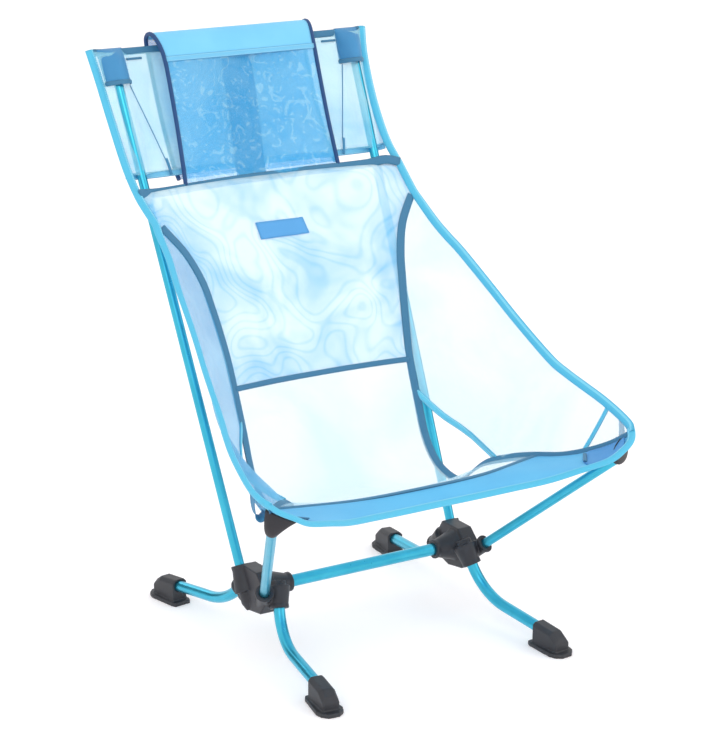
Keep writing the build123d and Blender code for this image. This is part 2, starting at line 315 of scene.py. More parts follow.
# cover is the share of thread; ringShade, the pale strokes' amount and paleShare say how much of
# each shows. The pale strokes are painted highlights along crinkles in the cloth, where its folds
# catch the light.
# The look for the wing that faces sideways is the same cloth as singleMesh, painted darker, bluer
# and denser: painted shade, standing in for the shade that wing lies in and for the thicker look
# of mesh seen edge-on.
meshLooks = {
    "singleMesh": {"deep": (0.46, 0.80, 0.96), "pale": (0.77, 0.92, 0.98), "cover": 0.26,
                   "ringShade": 0.0, "ringScale": 9.0, "ringCount": 11.0,
                   "crinkleHighlight": 0.0, "cloud": 6.0, "paleShare": 1.0},
    "paintedShadeWingMesh": {"deep": (0.06, 0.40, 0.71), "pale": (0.18, 0.56, 0.83), "cover": 0.46,
                   "ringShade": 0.0, "ringScale": 9.0, "ringCount": 11.0,
                   "crinkleHighlight": 0.0, "cloud": 9.0, "paleShare": 1.0},
    "doubleMesh": {"deep": (0.20, 0.60, 0.92), "pale": (0.74, 0.93, 0.99), "cover": 0.55,
                   "ringShade": 0.24, "ringScale": 8.0, "ringCount": 18.0,
                   "crinkleHighlight": 0.0, "cloud": 7.5, "paleShare": 1.0},
    "rearMesh": {"deep": (0.16, 0.62, 0.88), "pale": (0.46, 0.84, 0.96), "cover": 0.41,
                 "ringShade": 0.0, "ringScale": 9.0, "ringCount": 11.0,
                 "crinkleHighlight": 0.0, "cloud": 8.0, "paleShare": 1.0},
    "pillowMesh": {"deep": (0.06, 0.50, 0.90), "pale": (0.42, 0.82, 1.0), "cover": 0.37,
                   "ringShade": 0.10, "ringScale": 12.0, "ringCount": 12.0,
                   "crinkleHighlight": 0.42, "cloud": 9.0, "paleShare": 0.3},
}
coverPlay = 0.10


def meshMaterial(name):
    look = meshLooks[name]
    material, tree, skin = shader(name, look["deep"], 0.55, sheen=0.1)
    where = addNode(tree, "ShaderNodeTexCoord")
    weave = placeGroup(tree, openWeave, {"Threads": 1250.0, "Gap": 0.6})
    tree.links.new(where.outputs["Object"], weave.inputs["Vector"])
    ring = placeGroup(tree, meshRings, {"Scale": look["ringScale"],
                                        "Rings": look["ringCount"], "Soft": 4.0})
    tree.links.new(where.outputs["Object"], ring.inputs["Vector"])
    cloud = addNode(tree, "ShaderNodeTexNoise", {"Scale": look["cloud"], "Detail": 3.0,
                                                 "Distortion": 0.6})
    tree.links.new(where.outputs["Object"], cloud.inputs["Vector"])
    tint = addNode(tree, "ShaderNodeMapRange", {"From Min": 0.32, "From Max": 0.62,
                                                "To Max": look["paleShare"]})
    tree.links.new(cloud.outputs["Fac"], tint.inputs["Value"])
    dark = addNode(tree, "ShaderNodeMath", {1: -look["ringShade"]}, operation="MULTIPLY_ADD")
    tree.links.new(ring.outputs["Mask"], dark.inputs[0])
    tree.links.new(tint.outputs[0], dark.inputs[2])
    # pale strokes drawn toward the pale colour: painted highlights along crinkles, where folds
    # catch the light
    strokes = addNode(tree, "ShaderNodeTexNoise", {"Scale": 48.0, "Detail": 1.5,
                                                   "Distortion": 2.2})
    tree.links.new(where.outputs["Object"], strokes.inputs["Vector"])
    stroke = addNode(tree, "ShaderNodeMapRange", {"From Min": 0.575, "From Max": 0.63,
                                                  "To Max": look["crinkleHighlight"]})
    tree.links.new(strokes.outputs["Fac"], stroke.inputs["Value"])
    total = addNode(tree, "ShaderNodeMath", operation="ADD", use_clamp=True)
    tree.links.new(dark.outputs[0], total.inputs[0])
    tree.links.new(stroke.outputs[0], total.inputs[1])
    colour = blendColours(tree, total.outputs[0], look["deep"], look["pale"])
    tree.links.new(colour.outputs["Result"], skin.inputs["Base Color"])
    cover = addNode(tree, "ShaderNodeMapRange", {"To Min": look["cover"] - coverPlay,
                                                 "To Max": look["cover"] + coverPlay})
    tree.links.new(weave.outputs["Cover"], cover.inputs["Value"])
    tree.links.new(cover.outputs[0], skin.inputs["Alpha"])
    bumpFrom(tree, skin, weave.outputs["Height"], 0.2, 0.0003)
    return material


def tapeMaterial(name, main, rimColour, stitch, row=0.16):
    # row is how far in from each edge the stitches run, as a share of the width
    material, tree, skin = shader(name, main, 0.62, sheen=0.08)
    where = addNode(tree, "ShaderNodeTexCoord")
    rows = placeGroup(tree, stitchRows, {"Pitch": 330.0, "Row": row})
    tree.links.new(where.outputs["UV"], rows.inputs["Vector"])
    rimShare = addNode(tree, "ShaderNodeMath", {1: 0.8}, operation="MULTIPLY")
    tree.links.new(rows.outputs["Rim"], rimShare.inputs[0])
    body = blendColours(tree, rimShare.outputs[0], main, rimColour)
    threadMix = addNode(tree, "ShaderNodeMix", data_type="RGBA")
    threadMix.inputs["B"].default_value = (*stitch, 1)
    tree.links.new(body.outputs["Result"], threadMix.inputs["A"])
    tree.links.new(rows.outputs["Stitch"], threadMix.inputs["Factor"])
    grain = addNode(tree, "ShaderNodeTexNoise", {"Scale": 1500.0, "Detail": 1.0})
    tree.links.new(where.outputs["Object"], grain.inputs["Vector"])
    shade = addNode(tree, "ShaderNodeMapRange", {"To Min": 0.82, "To Max": 1.15})
    tree.links.new(grain.outputs["Fac"], shade.inputs["Value"])
    tone = addNode(tree, "ShaderNodeVectorMath", operation="SCALE")
    tree.links.new(threadMix.outputs["Result"], tone.inputs[0])
    tree.links.new(shade.outputs[0], tone.inputs["Scale"])
    tree.links.new(tone.outputs[0], skin.inputs["Base Color"])
    relief = addNode(tree, "ShaderNodeMath", {1: 0.25, 2: 0.0}, operation="MULTIPLY_ADD")
    tree.links.new(rows.outputs["Rib"], relief.inputs[0])
    tree.links.new(rows.outputs["Stitch"], relief.inputs[2])
    bumpFrom(tree, skin, relief.outputs[0], 0.5, 0.0004)
    return material


def clothMaterial(name, main, light, alpha=1.0):
    material, tree, skin = shader(name, main, 0.6, sheen=0.08)
    where = addNode(tree, "ShaderNodeTexCoord")
    weave = placeGroup(tree, openWeave, {"Threads": 1100.0, "Gap": 0.5})
    tree.links.new(where.outputs["Object"], weave.inputs["Vector"])
    cloud = addNode(tree, "ShaderNodeTexNoise", {"Scale": 14.0, "Detail": 3.0})
    tree.links.new(where.outputs["Object"], cloud.inputs["Vector"])
    colour = blendColours(tree, cloud.outputs["Fac"], main, light)
    tree.links.new(colour.outputs["Result"], skin.inputs["Base Color"])
    skin.inputs["Alpha"].default_value = alpha
    bumpFrom(tree, skin, weave.outputs["Height"], 0.35, 0.0003)
    return material


def tubeMaterial(name, deep, bright):
    # anodised drawn tube with a few paler rubs
    material, tree, skin = shader(name, deep, 0.3, metallic=0.9, coat=0.15)
    where = addNode(tree, "ShaderNodeTexCoord")
    cloud = addNode(tree, "ShaderNodeTexNoise", {"Scale": 22.0, "Detail": 4.0})
    tree.links.new(where.outputs["Object"], cloud.inputs["Vector"])
    colour = blendColours(tree, cloud.outputs["Fac"], deep, bright)
    tree.links.new(colour.outputs["Result"], skin.inputs["Base Color"])
    rub = addNode(tree, "ShaderNodeTexNoise", {"Scale": 160.0, "Detail": 3.0})
    tree.links.new(where.outputs["Object"], rub.inputs["Vector"])
    rough = addNode(tree, "ShaderNodeMapRange", {"To Min": 0.24, "To Max": 0.36})
    tree.links.new(rub.outputs["Fac"], rough.inputs["Value"])
    tree.links.new(rough.outputs[0], skin.inputs["Roughness"])
    bumpFrom(tree, skin, rub.outputs["Fac"], 0.04, 0.0002)
    return material


def mouldedMaterial(name, dark, dusty, roughness):
    material, tree, skin = shader(name, dark, roughness)
    where = addNode(tree, "ShaderNodeTexCoord")
    grain = addNode(tree, "ShaderNodeTexNoise", {"Scale": 900.0, "Detail": 3.0})
    tree.links.new(where.outputs["Object"], grain.inputs["Vector"])
    dust = addNode(tree, "ShaderNodeTexNoise", {"Scale": 60.0, "Detail": 5.0})
    tree.links.new(where.outputs["Object"], dust.inputs["Vector"])
    colour = blendColours(tree, dust.outputs["Fac"], dark, dusty)
    tree.links.new(colour.outputs["Result"], skin.inputs["Base Color"])
    rough = addNode(tree, "ShaderNodeMapRange", {"To Min": roughness - 0.1,
                                                 "To Max": roughness + 0.12})
    tree.links.new(dust.outputs["Fac"], rough.inputs["Value"])
    tree.links.new(rough.outputs[0], skin.inputs["Roughness"])
    bumpFrom(tree, skin, grain.outputs["Fac"], 0.18, 0.0004)
    return material


chairMiddle = (0, 0, 0.45)
feltColour = (0.02, 0.03, 0.05)


def makeFlag(name, place, size):
    # a dark card out of the camera's sight, which gives bright tubes their darker flanks
    bpy.ops.mesh.primitive_plane_add(size=1, location=place)
    card = bpy.context.object
    card.name = name
    card.scale = (size[0], size[1], 1)
    card.rotation_euler = (Vector(chairMiddle) - Vector(place)).to_track_quat(
        "Z", "Y").to_euler()
    card.visible_camera = False
    card.visible_diffuse = False
    card.visible_shadow = False
    bpy.context.view_layer.update()
    bpy.ops.object.transform_apply(location=False, rotation=True, scale=True)
    card.data.materials.append(shader(name + "Felt", feltColour, 0.9)[0])


looks = {
    "tube": tubeMaterial("anodisedTube", (0.03, 0.37, 0.54), (0.07, 0.54, 0.73)),
    "ferrule": tubeMaterial("ferruleMetal", (0.6, 0.62, 0.65), (0.75, 0.77, 0.8)),
    "hub": mouldedMaterial("hubPlastic", (0.010, 0.011, 0.016), (0.026, 0.028, 0.038), 0.42),
    "rubber": mouldedMaterial("bootRubber", (0.014, 0.015, 0.019), (0.035, 0.037, 0.046), 0.5),
    "elastic": clothMaterial("elasticBraid", (0.02, 0.02, 0.025), (0.06, 0.06, 0.07)),
    "single": meshMaterial("singleMesh"),
    "paintedShadeWing": meshMaterial("paintedShadeWingMesh"),
    "double": meshMaterial("doubleMesh"),
    "rear": meshMaterial("rearMesh"),
    "pillow": meshMaterial("pillowMesh"),
    "band": clothMaterial("topBand", (0.15, 0.55, 0.88), (0.24, 0.68, 0.95), 0.94),
    "hem": clothMaterial("hemCloth", (0.075, 0.44, 0.79), (0.13, 0.55, 0.87), 0.97),
    "pocket": clothMaterial("pocketCloth", (0.035, 0.22, 0.48), (0.065, 0.33, 0.62), 0.9),
    "lens": clothMaterial("cornerCloth", (0.035, 0.23, 0.58), (0.08, 0.36, 0.74), 0.96),
    "loop": clothMaterial("loopWebbing", (0.02, 0.16, 0.34), (0.05, 0.26, 0.46)),
    "black": clothMaterial("blackCloth", (0.006, 0.006, 0.010), (0.018, 0.018, 0.025)),
    "navy": clothMaterial("navyWebbing", (0.003, 0.045, 0.16), (0.007, 0.065, 0.21)),
    "strap": clothMaterial("strapCloth", (0.002, 0.06, 0.34), (0.005, 0.10, 0.44)),
    "label": clothMaterial("labelCloth", (0.075, 0.33, 0.69), (0.10, 0.38, 0.74)),
    "binding": tapeMaterial("bindingTape", (0.08, 0.50, 0.74), (0.04, 0.36, 0.58),
                            (0.28, 0.70, 0.88)),
    "seam": tapeMaterial("seamTape", (0.042, 0.19, 0.34), (0.008, 0.06, 0.155),
                         (0.07, 0.27, 0.43), row=0.06),
    "bright": tapeMaterial("brightTape", (0.13, 0.58, 0.80), (0.07, 0.42, 0.66),
                           (0.35, 0.76, 0.92)),
    "paleTape": tapeMaterial("paleTape", (0.16, 0.52, 0.78), (0.07, 0.36, 0.62),
                             (0.35, 0.70, 0.90)),
}
makeFlag("leftFlag", (-1.5, 2.4, 0.9), (1.3, 2.2))
makeFlag("rightFlag", (2.9, -0.1, 0.9), (1.3, 2.2))
print("stage: materials")


# ------ tools for cloth and tapes

sitterWay = Vector((0, -0.7, 0.6))
meshThick = 0.0006
tapeThick = 0.0024
tapeCrown = 0.0008
tapeColumns = 6
rollColumns = 20


def finishPiece(piece, look, nodes=(), body="frame"):
    piece.data.materials.clear()
    piece.data.materials.append(looks[look])
    for face in piece.data.polygons:
        face.use_smooth = True
    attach(piece, body)
    if nodes:
        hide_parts(*nodes)
    return piece


def applyAll(piece):
    bpy.ops.object.select_all(action="DESELECT")
    piece.select_set(True)
    bpy.context.view_layer.objects.active = piece
    for modifier in list(piece.modifiers):
        bpy.ops.object.modifier_apply(modifier=modifier.name)


def layCloth(name, columns, rows, place, thick=meshThick, along=None):
    # a grid laid on a surface; place takes 0..1 across and 0..1 along
    bpy.ops.object.select_all(action="DESELECT")
    bpy.ops.mesh.primitive_grid_add(x_subdivisions=columns, y_subdivisions=rows, size=1)
    piece = bpy.context.object
    piece.name = piece.data.name = name
    for vertex in piece.data.vertices:
        vertex.co = place(vertex.co.x + 0.5, vertex.co.y + 0.5)
    if along:
        for loop in piece.data.uv_layers.active.data:
            loop.uv = (loop.uv[0], loop.uv[1] * along)
    piece.data.update()
    solid = piece.modifiers.new("thickness", "SOLIDIFY")
    solid.thickness = thick
    solid.offset = 0
    applyAll(piece)
    return piece


def steady(x, y, z):
    # the same direction all the way along a tape
    return lambda v: Vector((x, y, z))


def tapeFrame(line, across, v):
    # a place on the line, the way the tape's width lies there and the way its face looks
    here = line(v)
    tangent = (line(min(v + 0.01, 1)) - line(max(v - 0.01, 0))).normalized()
    side = across(v)
    side = (side - tangent * side.dot(tangent)).normalized()
    return here, side, side.cross(tangent)


def ribbon(name, line, across, width, rows, proud=0.0, thick=0.0011):
    # a tape along a line, slightly crowned, with its face toward the sitter
    def place(u, v):
        here, side, face = tapeFrame(line, across, v)
        if face.dot(sitterWay) < 0:
            face = -face
        lean = 2 * u - 1
        return here + side * lean * width / 2 + face * (proud + tapeCrown * (1 - lean ** 4))

    return layCloth(name, tapeColumns, rows, place, thick, along=lineLength(line))


def edgeRoll(name, line, across, oval, rows):
    # a folded tape round an edge: an oval all the way along
    width, depth = oval

    def place(u, v):
        here, side, face = tapeFrame(line, across, v)
        turn = 2 * math.pi * u
        return here + side * width / 2 * math.cos(turn) + face * depth / 2 * math.sin(turn)

    return layCloth(name, rollColumns, rows, place, along=lineLength(line))


def roundCord(name, points, radius):
    data = bpy.data.curves.new(name, "CURVE")
    data.dimensions = "3D"
    data.bevel_depth = radius
    data.bevel_resolution = 3
    data.resolution_u = 8
    data.use_fill_caps = True
    spline = data.splines.new("NURBS")
    spline.points.add(len(points) - 1)
    for point, place in zip(spline.points, points):
        point.co = (*place, 1)
    spline.order_u = 3
    spline.use_endpoint_u = True
    curve = bpy.data.objects.new(name, data)
    bpy.context.scene.collection.objects.link(curve)
    bpy.ops.object.select_all(action="DESELECT")
    curve.select_set(True)
    bpy.context.view_layer.objects.active = curve
    bpy.ops.object.convert(target="MESH")
    return bpy.context.object


# ------ the sling's lines, right-hand side, in millimetres from the crossbar

slingLines = {
    "backSide": ((215, 264, 620), (214, 238, 601), (211, 211, 582), (184, 192, 546),
                 (168, 171, 507), (161, 154, 469), (156, 140, 435), (152, 126, 399),
                 (149, 111, 357)),
    "backMiddle": ((0, 291, 620), (0, 262, 572), (0, 222, 507), (0, 185, 450), (0, 152, 402),
                   (0, 120, 357)),
    "seatSide": ((149, 111, 357), (148, 90, 308), (148, 64, 249), (149, 30, 216),
                 (150, -17, 207), (152, -43, 221), (163, -70, 246), (190, -98, 258),
                 (215, -121, 263)),
    "seatMiddle": ((0, 120, 357), (0, 98, 308), (0, 70, 252), (0, 32, 213), (0, -17, 202),
                   (0, -50, 216), (0, -90, 238), (0, -152, 263)),
    "hemSide": ((215, -121, 263), (240, -152, 268), (262, -183, 280), (280, -214, 297),
                (291, -241, 317)),
    "frontEdge": ((291, -245, 321), (282, -255, 314), (266, -261, 306), (242, -259, 293),
                  (200, -243, 280), (160, -226, 268), (110, -207, 259), (55, -194, 253),
                  (0, -189, 251)),
    "drainEdge": ((149, 92, 312), (170, 55, 284), (185, 16, 268), (183, -30, 259),
                  (175, -80, 254)),
    "sideEdge": ((218, 214, 586), (220, 200, 575), (224, 163, 549), (230, 135, 530),
                 (236, 108, 513), (247, 46, 471), (258, -8, 432), (271, -74, 389),
                 (280, -105, 373), (289, -138, 360), (296, -173, 348), (300, -208, 335),
                 (298, -232, 327), (291, -245, 321)),
    "topEdge": ((232, 392, 811), (226, 374, 769), (222, 340, 708), (221, 300, 653),
                (222, 262, 620), (220, 235, 600), (218, 214, 586)),
    "rearSide": ((220, 303, 642), (220, 341, 706), (224, 372, 766), (231, 391, 809)),
    "rearMiddle": ((0, 309, 638), (0, 343, 706), (0, 373, 766), (0, 390, 807)),
    "tether": ((181, 364, 760), (171, 346, 725), (160, 328, 688), (151, 312, 655)),
    "tetherTag": ((151.5, 312, 657), (149, 307, 645), (147, 304, 634)),
    "barTack": ((153, 381, 795), (178, 381, 795)),
    "pullLoop": ((299, -211, 328), (299, -213, 313), (297, -216, 301), (292, -219, 297),
                 (288, -221, 301), (287, -221, 307)),
    # these run the whole way across, from left to right
    "hemInner": ((-215, -121, 263), (-110, -148, 263), (0, -153, 263), (110, -148, 263),
                 (215, -121, 263)),
    "shoulder": ((-221, 259, 622.5), (-180, 277, 616.5), (-129, 287, 615.5), (-60, 291, 617),
                 (0, 292, 617.5), (70, 291, 618.5), (129, 287.5, 619), (175, 278, 621.5),
                 (200, 268, 627), (221, 259, 622.5)),
    "rear": ((-221, 303, 640), (-180, 307, 636), (0, 309, 637), (180, 307, 636),
             (221, 303, 640)),
    "top": ((-226, 390, 807), (-181, 389, 805), (0, 390, 805), (181, 389, 805),
            (226, 390, 807)),
}
slingLines["wingInner"] = (slingLines["backSide"][2:] + slingLines["drainEdge"][:-1]
                           + ((175, -82, 254), (190, -98, 258)) + slingLines["hemSide"])
slingLines["seamLine"] = (slingLines["backSide"][2:] + slingLines["seatSide"][1:]
                          + slingLines["hemSide"][1:])


def placesOf(name, side=1):
    return [at(*point, side) for point in slingLines[name]]


def lineOf(name, side=1):
    return smoothLine(placesOf(name, side))


def joined(*names, side=1):
    points = []
    for name in names:
        for place in placesOf(name, side):
            if not points or (place - points[-1]).length > 1e-6:
                points.append(place)
    return smoothLine(points)


# the ways a surface is pushed where its cloth is uneven
panelFace = Vector((0, -0.8, 0.6))
pillowFace = Vector((0, -0.9, 0.4))


def crossPanel(sideName, middleName, power, uneven, seed):
    # side to side it bends from the middle line to the edges, flat or round by its power
    edges = {side: lineOf(sideName, side) for side in (1, -1)}
    middle = lineOf(middleName)

    def place(u, v):
        lean = 2 * u - 1
        edge = edges[1 if lean >= 0 else -1](v)
        centre = middle(v)
        bend = abs(lean) ** power
        spot = Vector((edge.x * abs(lean), mix(centre.y, edge.y, bend),
                       mix(centre.z, edge.z, bend)))
        fade = (1 - abs(lean) ** 6) * math.sin(math.pi * v) ** 0.3 if 0 < v < 1 else 0
        return spot + panelFace * ripple(spot, 0.09, uneven * fade, seed)

    return place


# lean, spread and grows are shares of the rear sheet; push and more are in metres
poleMark = {"lean": 0.9, "spread": 0.075, "push": 0.013, "more": 0.008, "grows": 0.4}


def makePanels():
    backPlace = crossPanel("backSide", "backMiddle", 2.3, 0.006, 1.0)
    back = layCloth("backPanel", 60, 70, backPlace)
    finishPiece(back, "double", ["back_panel"])
    seat = layCloth("seatPanel", 60, 70,
                    crossPanel("seatSide", "seatMiddle", 2.6, 0.003, 4.0))
    finishPiece(seat, "single", ["seat_panel"])
    flatRear = crossPanel("rearSide", "rearMiddle", 2.0, 0.004, 7.0)

    def rearPlace(u, v):
        # the two back poles push the sheet forward where they stand behind it
        lean = abs(2 * u - 1)
        push = poleMark["push"] + poleMark["more"] * min(1, v / poleMark["grows"])
        drape = math.exp(-((lean - poleMark["lean"]) / poleMark["spread"]) ** 2)
        return flatRear(u, v) + Vector((0, -push * drape * (1 - lean ** 24), 0))

    rear = layCloth("rearPanel", 96, 24, rearPlace)
    finishPiece(rear, "rear", ["rear_panel"])
    return backPlace


wingSag = 0.008
wingUneven = 0.004


def wingPlace(side):
    inner = lineOf("wingInner", side)
    outer = lineOf("sideEdge", side)

    def place(u, v):
        start, end = inner(v), outer(v)
        spot = mix(start, end, u)
        along = (outer(min(v + 0.02, 1)) - outer(max(v - 0.02, 0))).normalized()
        out = along.cross((end - start).normalized()) * side
        swell = math.sin(math.pi * u) * math.sin(math.pi * v)
        rough = ripple(spot, 0.08, wingUneven * swell, 2.0 + side)
        return spot + out * (rough - wingSag * swell)

    return place


def makeWings():
    for hand, side in sides.items():
        wing = layCloth(f"{hand}Wing", 30, 80, wingPlace(side))
        # the left wing, which faces sideways, gets the darker, denser copy of the mesh cloth:
        # painted shade
        finishPiece(wing, "single" if side > 0 else "paintedShadeWing", [f"wing_{hand}"])


def frontEdgeLine(lap=()):
    # lap is any further points at both ends, where the tape runs on past the corner
    right = [at(*point) for point in (*lap, *slingLines["frontEdge"])]
    left = [at(*point, -1) for point in (*lap, *slingLines["frontEdge"])]
    return smoothLine(left + right[-2::-1])


hemEnd = 0.8
cornerLens = {"outer": (0.842, 0.945), "seam": (0.46, 0.93), "middle": 0.47, "half": 0.43,
              "proud": (0, -0.0014, 0.0024), "rimProud": (0, -0.0015, 0.0025)}
flapSeam = {"atSeam": 0.885, "atEdge": 0.875, "width": 0.006, "thick": 0.0022}


def makeHem():
    inner = lineOf("hemInner")
    outer = frontEdgeLine()
    sideLines = {side: lineOf("hemSide", side) for side in (1, -1)}

    def place(u, v):
        spot = mix(inner(u), outer(u), v)
        for side, share in ((1, u), (-1, 1 - u)):
            if share > hemEnd:
                pull = (share - hemEnd) / (1 - hemEnd)
                seam = sideLines[side](v)
                straight = mix(inner(0.5 + side * 0.5), outer(0.5 + side * 0.5), v)
                spot = spot + (seam - straight) * pull ** 2
        return spot + Vector((0, 0, ripple(spot, 0.05, 0.002 * math.sin(math.pi * v), 9.0)))

    hem = layCloth("frontHem", 90, 12, place, 0.001)
    finishPiece(hem, "hem", ["front_hem"])
    stitch = ribbon("hemStitch", smoothLine([place(i / 24, 0.0) for i in range(25)]),
                    steady(0, 1, 0), 0.007, 110, thick=tapeThick)
    finishPiece(stitch, "seam")
    for hand, side in sides.items():
        def lens(u, v, side=side):
            # it rounds off at its inner end and lies between the seam and the front edge
            share = mix(*cornerLens["outer"], u)
            high = sideLines[side](mix(*cornerLens["seam"], u))
            low = outer(share if side > 0 else 1 - share)
            opening = min(1, math.sqrt(max(0.0, u) * 7 + 0.05))
            reach = cornerLens["middle"] + cornerLens["half"] * (2 * v - 1) * opening
            return mix(high, low, reach) + Vector(cornerLens["proud"])

        patch = layCloth(f"{hand}CornerPatch", 28, 12, lens, 0.001)
        finishPiece(patch, "lens", [f"corner_patch_{hand}"])
        end = smoothLine([lens(0.03, i / 8) + Vector(cornerLens["rimProud"])
                          for i in range(9)])
        rim = ribbon(f"{hand}PatchRim", end, steady(1, 0, 0), 0.0045, 24, thick=0.0018)
        finishPiece(rim, "seam")
        wing = wingPlace(side)
        flap = smoothLine([wing(i / 12, mix(flapSeam["atSeam"], flapSeam["atEdge"], i / 12))
                           for i in range(13)])
        tape = ribbon(f"{hand}FlapSeam", flap, steady(0, -1, -0.4), flapSeam["width"], 60,
                      thick=flapSeam["thick"])
        finishPiece(tape, "binding")


crossTapes = {
    "shoulderTape": {"line": "shoulder", "back": 0.45, "width": 0.013, "rows": 80,
                     "look": "seam", "slot": "seam_tape", "node": "shoulder_tape"},
    "rearTape": {"line": "rear", "back": 0.45, "width": 0.009, "rows": 60,
                 "look": "paleTape", "slot": "binding_tape", "node": "rear_tape"},
    "topHem": {"line": "top", "back": 0.35, "width": 0.010, "rows": 60,
               "look": "seam", "slot": "seam_tape", "node": "top_hem"},
    "midTape": {"line": "panelFoot", "back": 0.45, "width": 0.007, "rows": 60,
                "look": "seam", "slot": "seam_tape", "node": "mid_tape"},
}
seamWidth, seamThick = 0.0115, 0.0026
# shares of the seam's length where it leaves the panel's side and where it stands up
seamTurn = {"leaves": 0.62, "leavesOver": 0.12, "stands": 0.7, "standsOver": 0.1}


def makeTapes(backPlace):
    lines = {name: lineOf(name) for name in ("shoulder", "rear", "top")}
    lines["panelFoot"] = smoothLine([backPlace(i / 12, 0.997) for i in range(13)])
    for name, facts in crossTapes.items():
        tape = ribbon(name, lines[facts["line"]], steady(0, facts["back"], 1),
                      facts["width"], facts["rows"], thick=tapeThick)
        finishPiece(tape, facts["look"], [facts["node"]])
    for hand, side in sides.items():
        seam = lineOf("seamLine", side)
        outer = lineOf("sideEdge", side)

        def across(v, seam=seam, outer=outer, side=side):
            # halfway between panel and wing, then standing up along the hem
            here = seam(v)
            toPanel = mix(Vector((-side, 0, 0)), Vector((-0.45 * side, -0.9, -0.1)),
                          min(1, max(0, (v - seamTurn["leaves"]) / seamTurn["leavesOver"])))
            toWing = (outer(v) - here).normalized()
            up = Vector((0.1 * side, 0.5, 0.85)) * 1.6
            rise = min(1, max(0, (v - seamTurn["stands"]) / seamTurn["standsOver"]))
            return mix(toWing - toPanel, up, rise) * side

        tape = ribbon(f"{hand}SeamTape", seam, across, seamWidth, 150, thick=seamThick)
        finishPiece(tape, "seam", [f"seam_tape_{hand}"])


sideOval = (0.0125, 0.0075)
frontOval = (0.0115, 0.007)
cornerLap = (295.5, -237, 324.5)
turnIn = 0.06


def makeBindings():
    for hand, side in sides.items():
        edge = joined("topEdge", "sideEdge", side=side)
        topPart = lineLength(lineOf("topEdge", side), 80)
        whole = topPart + lineLength(lineOf("sideEdge", side), 80)
        inner = lineOf("wingInner", side)

        def across(v, edge=edge, inner=inner, side=side, share=topPart / whole):
            # straight in along the top, then toward the wing's seam
            inward = Vector((-side, 0.1, 0))
            if v > share - turnIn:
                s = max(0, (v - share) / (1 - share))
                toSeam = (inner(s + 0.02) - edge(v)).normalized()
                inward = mix(inward, toSeam, min(1, max(0, (v - share + turnIn) / (2 * turnIn))))
            return -inward * side

        tape = edgeRoll(f"{hand}Binding", edge, across, sideOval, 180)
        finishPiece(tape, "binding", [f"binding_{hand}"])
    front = frontEdgeLine((cornerLap,))
    inner = lineOf("hemInner")
    tape = edgeRoll("frontBinding", front, lambda v: inner(v) - front(v), frontOval, 180)
    finishPiece(tape, "binding", ["binding_front"])
    for hand, side in sides.items():
        tape = ribbon(f"{hand}DrainEdge", lineOf("drainEdge", side), steady(0, 0.3, 1), 0.009,
                      40, thick=tapeThick)
        finishPiece(tape, "bright")
    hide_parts("drain_strips")


topPocket = {"mouth": (179, 217), "hem": (181, 222), "mouthPlace": (369, 761),
             "hemPlace": (391, 811), "swell": (-0.023, 0.006)}
polePocket = {"foot": 280, "aim": 290, "radius": 0.0088, "grip": 0.014, "flare": 0.003,
              "cornerEnd": (291, -238, 314), "frontEnd": (257, -257, 298), "bulge": 0.010,
              "back": 0.004, "drop": 0.001}


def makePockets():
    for hand, side in sides.items():
        def place(u, v, side=side):
            low = at(mix(*topPocket["mouth"], u), *topPocket["mouthPlace"], side)
            high = at(mix(*topPocket["hem"], u), *topPocket["hemPlace"], side)
            spot = mix(low, high, v)
            swell = math.sin(math.pi * u) ** 0.6 * (1 - v ** 6)
            forward, up = topPocket["swell"]
            return spot + Vector((0, forward * swell, up * swell))

        pocket = layCloth(f"{hand}TopPocket", 20, 20, place, 0.001)
        finishPiece(pocket, "pocket", [f"top_pocket_{hand}"])
        lip = smoothLine([place(i / 10, 0.04) for i in range(11)])
        tape = ribbon(f"{hand}PocketLip", lip, steady(0, 0.3, 1), 0.006, 24, proud=0.001)
        finishPiece(tape, "seam")

        def funnel(u, v, side=side):
            # round where it grips the pole, long and flat where it is sewn under the corner
            turn = 2 * math.pi * u
            start = frontPole(polePocket["foot"], side)
            axis = (frontPole(polePocket["aim"], side) - start).normalized()
            flat = Vector((0, 0, 1)).cross(axis).normalized()
            out = flat * math.cos(turn) * side + axis.cross(flat) * math.sin(turn)
            low = start + out * polePocket["radius"]
            bend = low + axis * polePocket["grip"] + out * polePocket["flare"]
            along = 0.5 + 0.5 * math.cos(turn)
            high = mix(at(*polePocket["cornerEnd"], side), at(*polePocket["frontEnd"], side),
                       1 - along)
            high = high + Vector((0, polePocket["bulge"] * math.sin(turn) + polePocket["back"],
                                  -polePocket["drop"]))
            return low * (1 - v) ** 2 + bend * 2 * v * (1 - v) + high * v ** 2

        cone = layCloth(f"{hand}PolePocket", 40, 20, funnel, 0.0012)
        finishPiece(cone, "black", [f"front_pocket_{hand}"])


seatPole = {"foot": (161.7, 9, 60), "run": (132.3, -266.5, 247)}


def frontPole(height, side):
    # the place on the seat pole's axis at a height in millimetres
    (x, y, z), (runX, runY, runZ) = seatPole["foot"], seatPole["run"]
    share = (height - z) / runZ
    return at(x + runX * share, y + runY * share, height, side)


pillowLines = {
    "front": ((129, 289, 619), (126, 311, 675), (125, 333, 733), (125, 356, 793)),
    "top": ((125, 356, 793), (127, 368, 812), (130, 380, 824), (131, 391, 828),
            (131.5, 402, 825), (131.5, 408, 816)),
    "back": ((131.5, 408, 816), (131, 396, 785), (131, 375, 735), (131, 350, 685),
             (132, 318, 638), (132, 305, 625)),
}


pipingOut, pipingRadius = 1.5, 0.0032
# how far each layer sags, how uneven it is, and where its unevenness is drawn from
pillowShapes = {"front": (0.003, 0.005, 3.0), "top": (0.0, 0.001, 5.0),
                "back": (0.0, 0.004, 6.0)}
pillowStrap = {"top": (0.37, 0.573), "foot": (0.34, 0.53), "along": (0.01, 0.97),
               "behind": 0.0022}


